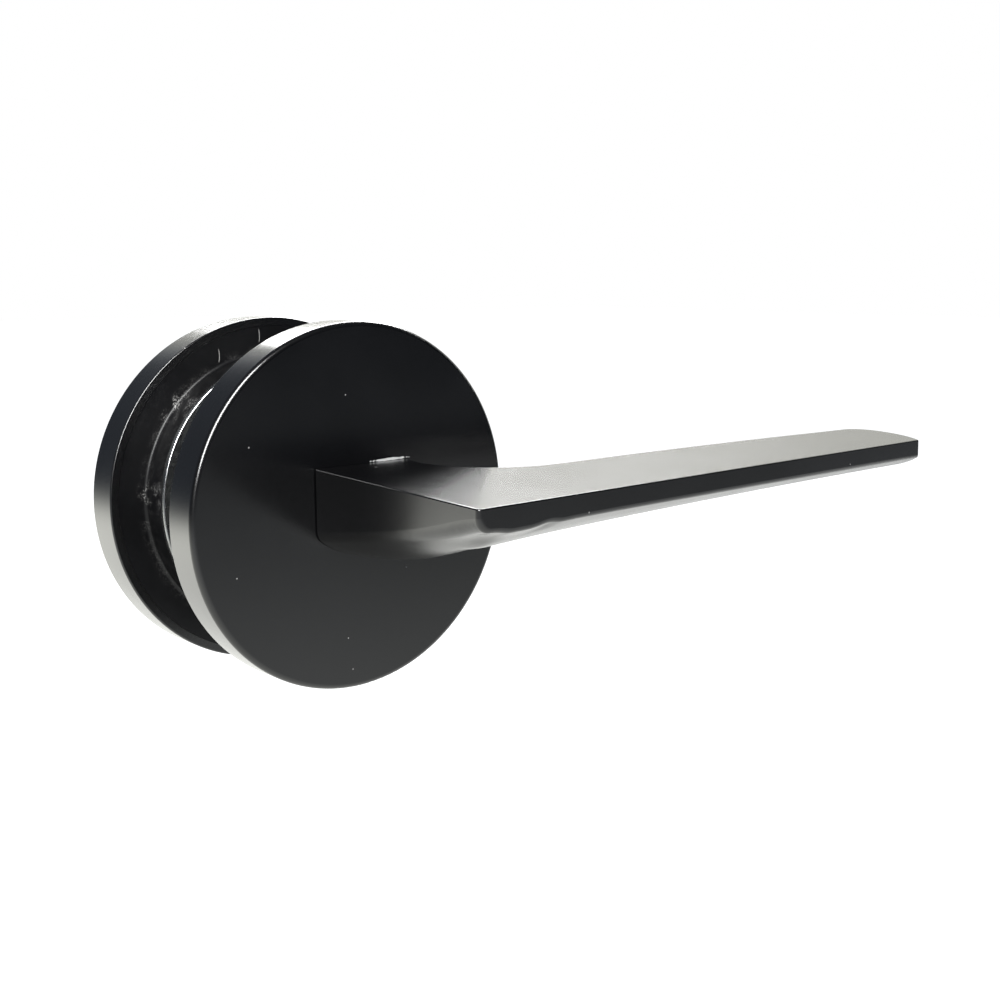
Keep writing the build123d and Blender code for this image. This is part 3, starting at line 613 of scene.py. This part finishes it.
def satin_finish(name, roughness, painted_glint=None):
    """Satin black coat with specks, and a painted glint where one is given as its middle and size."""
    finish, tree, shader = new_finish(name)
    coat = place(
        tree,
        "ShaderNodeGroup",
        {"Colour": satin_black, "Roughness": roughness, "Grain": satin_grain},
        node_tree=sprayed_coat,
    )
    specks = place(tree, "ShaderNodeGroup", {}, node_tree=dust_specks)["Mask"]
    colour = colour_between(tree, specks, coat["Colour"], dust_grey)
    rough = sum_of(tree, "MULTIPLY_ADD", specks, dust_roughness - roughness, coat["Roughness"])
    if painted_glint:
        # Painted highlight: the ragged white streak that stands in for a glint.
        glint_patch = place(tree, "ShaderNodeGroup", {"Middle": painted_glint[0], "Size": painted_glint[1]}, node_tree=ragged_painted_glint)
        colour = colour_between(tree, glint_patch["Mask"], colour, glint_white)
        rough = sum_of(tree, "MULTIPLY_ADD", glint_patch["Mask"], glint_roughness - roughness, rough)
    tree.links.new(colour, shader["Base Color"])
    tree.links.new(rough, shader["Roughness"])
    shader["IOR"].default_value = satin_index
    shader["Coat Weight"].default_value = clear_coat
    shader["Coat Roughness"].default_value = clear_coat_roughness
    grain_bump(tree, shader, coat["Height"], satin_bump, satin_bump_depth)
    return finish


# Where the painted glint lies on the near rose, and its size.
painted_glint = (glint_middle, glint_size)
dress(satin_finish("near_rose_satin", rose_roughness, painted_glint), "near_rose_cover")
dress(satin_finish("far_rose_satin", hazy_roughness), "far_rose_cover")

# Lever
# One casting in satin black: neck, blade and the shank that runs in the near bush. Its top is flat
# and falls a little to the front, and its belly swells from the band along the front edge.
dress(satin_finish("lever_satin", satin_roughness), "lever_handle")

# Privacy turn and its friction ring
# The thumb turn is cast with its foot and shank and coated like the lever. A rubber ring in a
# groove of its shank drags in the bush, so the turn stays where it is put.
rubber_black = (0.022, 0.022, 0.022, 1.0)
rubber_bloom = (0.05, 0.05, 0.048, 1.0)
bloom_scale = 700.0
bloom_low = 0.4
bloom_high = 0.75
rubber_smooth = 0.6
rubber_rough = 0.8
rubber_bump = 0.2
rubber_bump_depth = 0.02 * mm

dress(satin_finish("turn_satin", satin_roughness), "privacy_turn")
rubber, tree, shader = new_finish("ring_rubber")
where = part_place(tree)
bloom = place(tree, "ShaderNodeTexNoise", {"Vector": where, "Scale": bloom_scale, "Detail": 4.0})[0]
bloomed = ramp_of(tree, bloom, bloom_low, bloom_high)
tree.links.new(colour_between(tree, bloomed, rubber_black, rubber_bloom), shader["Base Color"])
rough = ramp_of(tree, bloom, noise_low, noise_high, rubber_smooth, rubber_rough)
tree.links.new(rough, shader["Roughness"])
grain_bump(tree, shader, bloom, rubber_bump, rubber_bump_depth)
dress(rubber, "turn_friction_ring")

# Floor
# A wide white table well below the part, so that its soft shadow lies outside the picture. The lamp
# behind the part lights it, and a pool of light is also painted on it as a glow that only mirroring
# rays see; that glow is what the roses' rims and the belly mirror. For the camera the white glow is
# dimmed a little over the pool, so that the shadow shows. For all other rays its colour is a painted
# shade, grey in front of the part and pale behind it.
white = (1.0, 1.0, 1.0, 1.0)
floor_height = -110.0 * mm
floor_half = 4.0
floor_pale = (0.4, 0.4, 0.4, 1.0)
# Painted shade: the floor's colour in front of the part, for all rays but the camera's.
floor_painted_shade = (0.125, 0.13, 0.14, 1.0)
floor_shadow_part = (0.3, 0.3, 0.3, 1.0)
floor_back = Vector((0.55, 0.83, 0.0)).normalized()
grey_end = -0.05
pale_start = 0.12
shadow_room = 0.25
# The painted pool of light: its middle, reach, fall-off, glow and tint.
painted_pool_middle = (-0.2, 0.38, floor_height)
painted_pool_reach = 0.37
painted_pool_fall = -1.3
painted_pool_glow = 1.9
painted_pool_colour = (1.0, 1.0, 0.9, 1.0)

floor_mesh = bpy.data.meshes.new("floor")
corners = [(-1, -1), (1, -1), (1, 1), (-1, 1)]
corners = [(x * floor_half, y * floor_half, floor_height) for x, y in corners]
floor_mesh.from_pydata(corners, [], [(0, 1, 2, 3)])
floor = bpy.data.objects.new("floor", floor_mesh)
bpy.context.scene.collection.objects.link(floor)
floor_white, tree = new_finish("floor_white")[:2]
# Painted light: a glowing pool that fades away from its middle, seen by mirroring rays; for the camera the
# same pool dims the white glow a little.
away = place(
    tree, "ShaderNodeVectorMath", {0: part_place(tree), 1: painted_pool_middle}, operation="DISTANCE"
)["Value"]
away = sum_of(tree, "DIVIDE", away, painted_pool_reach)
painted_pool = sum_of(tree, "POWER", sum_of(tree, "MULTIPLY_ADD", away, away, 1.0), painted_pool_fall)
path = tree.nodes.new("ShaderNodeLightPath").outputs
mirrored = sum_of(tree, "MAXIMUM", path["Is Glossy Ray"], path["Is Transmission Ray"])
mirrored = sum_of(tree, "MULTIPLY", mirrored, sum_of(tree, "MULTIPLY", painted_pool, painted_pool_glow))
shown = sum_of(tree, "MULTIPLY_ADD", painted_pool, -shadow_room, 1.0)
strength = sum_of(tree, "MULTIPLY_ADD", shown, path["Is Camera Ray"], mirrored)
tint = colour_between(tree, path["Is Camera Ray"], painted_pool_colour, white)
# Painted shade: for all rays but the camera's the floor is grey in front of the part and pale behind it.
along = place(
    tree, "ShaderNodeVectorMath", {0: part_place(tree), 1: floor_back}, operation="DOT_PRODUCT"
)["Value"]
pale = colour_between(tree, ramp_of(tree, along, grey_end, pale_start), floor_painted_shade, floor_pale)
pale = colour_between(tree, path["Is Camera Ray"], pale, floor_shadow_part)
lit = place(tree, "ShaderNodeBsdfDiffuse", {"Color": pale})[0]
glow = place(tree, "ShaderNodeEmission", {"Color": tint, "Strength": strength})[0]
both = place(tree, "ShaderNodeAddShader", {0: lit, 1: glow})[0]
tree.links.new(both, tree.nodes["Material Output"].inputs["Surface"])
floor_mesh.materials.append(floor_white)

# Light
# A soft box hangs over the back of the part and a narrow one stands by the camera, up and to its
# left. A white backdrop stands behind to the right, and the rest of the room is dim.
room_level = 0.3
dim_front = 0.015
dim_back = 0.1
dim_start = -0.3
dim_end = 0.7
backdrop_level = 0.84
room_colour = (0.82, 0.95, 1.18, 1.0)
backdrop_colour = (1.0, 1.0, 0.92, 1.0)
backdrop_direction = Vector((0.8, 0.58, 0.15)).normalized()
backdrop_start = 0.58
backdrop_full = 0.76
back_place = Vector((0.339, 0.414, 0.405))
back_size = (0.49, 0.2)
back_roll = 0.0
back_power = 5.8
by_camera_place = Vector((-0.29, -0.36, 0.33))
by_camera_size = (0.19, 0.48)
by_camera_roll = -0.43
by_camera_power = 5.5
soft_boxes = {
    "back_box": (back_place, back_size, back_roll, back_power),
    "camera_box": (by_camera_place, by_camera_size, by_camera_roll, by_camera_power),
}

world = bpy.data.worlds.new("studio")
bpy.context.scene.world = world
world.use_nodes = True
tree = world.node_tree
toward = tree.nodes.new("ShaderNodeTexCoord").outputs["Generated"]
facing = place(
    tree, "ShaderNodeVectorMath", {0: toward, 1: backdrop_direction}, operation="DOT_PRODUCT"
)["Value"]
behind = place(tree, "ShaderNodeSeparateXYZ", {"Vector": toward})["Y"]
dim_room = ramp_of(tree, behind, dim_start, dim_end, dim_front, dim_back)
backdrop = ramp_of(tree, facing, backdrop_start, backdrop_full, dim_room, backdrop_level)
path = tree.nodes.new("ShaderNodeLightPath").outputs
mirrored = sum_of(tree, "MAXIMUM", path["Is Glossy Ray"], path["Is Transmission Ray"])
level = sum_of(tree, "SUBTRACT", backdrop, room_level)
level = sum_of(tree, "MULTIPLY_ADD", level, mirrored, room_level)
level = sum_of(tree, "MAXIMUM", level, path["Is Camera Ray"])
tree.links.new(level, tree.nodes["Background"].inputs["Strength"])
share = sum_of(tree, "DIVIDE", backdrop, backdrop_level)
tint = colour_between(tree, share, room_colour, backdrop_colour)
tint = colour_between(tree, path["Is Camera Ray"], tint, white)
tree.links.new(tint, tree.nodes["Background"].inputs["Color"])

for name, (spot, size, roll, power) in soft_boxes.items():
    lamp = bpy.data.lights.new(name, "AREA")
    lamp.shape = "RECTANGLE"
    lamp.size, lamp.size_y = size
    lamp.energy = power
    box = bpy.data.objects.new(name, lamp)
    box.location = spot
    box.rotation_mode = "QUATERNION"
    box.rotation_quaternion = (-spot).to_track_quat("-Z", "Y") @ Quaternion((0.0, 0.0, 1.0), roll)
    bpy.context.scene.collection.objects.link(box)

# Camera
# Stands as far from the part as the photograph's camera did. The frame is off the lens's axis, as
# in the photograph, so the axis's pixel sets the shift.
frame_pixels = 1000.0
focal_pixels = 1300.0
axis_pixel = (586.2, 424.6)
eye = Vector((-130.63, -206.17, 40.59)) * mm
look = Vector((0.6989, 0.7059, -0.1151))
sensor = 36.0

lens = bpy.data.cameras.new("camera")
lens.sensor_width = sensor
lens.lens = sensor * focal_pixels / frame_pixels
lens.shift_x = 0.5 - axis_pixel[0] / frame_pixels
lens.shift_y = axis_pixel[1] / frame_pixels - 0.5
lens.clip_start = 1.0 * mm
camera = bpy.data.objects.new("camera", lens)
camera.location = eye
camera.rotation_mode = "QUATERNION"
camera.rotation_quaternion = look.to_track_quat("-Z", "Y")
bpy.context.scene.collection.objects.link(camera)
bpy.context.scene.camera = camera
bpy.context.scene.view_settings.view_transform = "Standard"
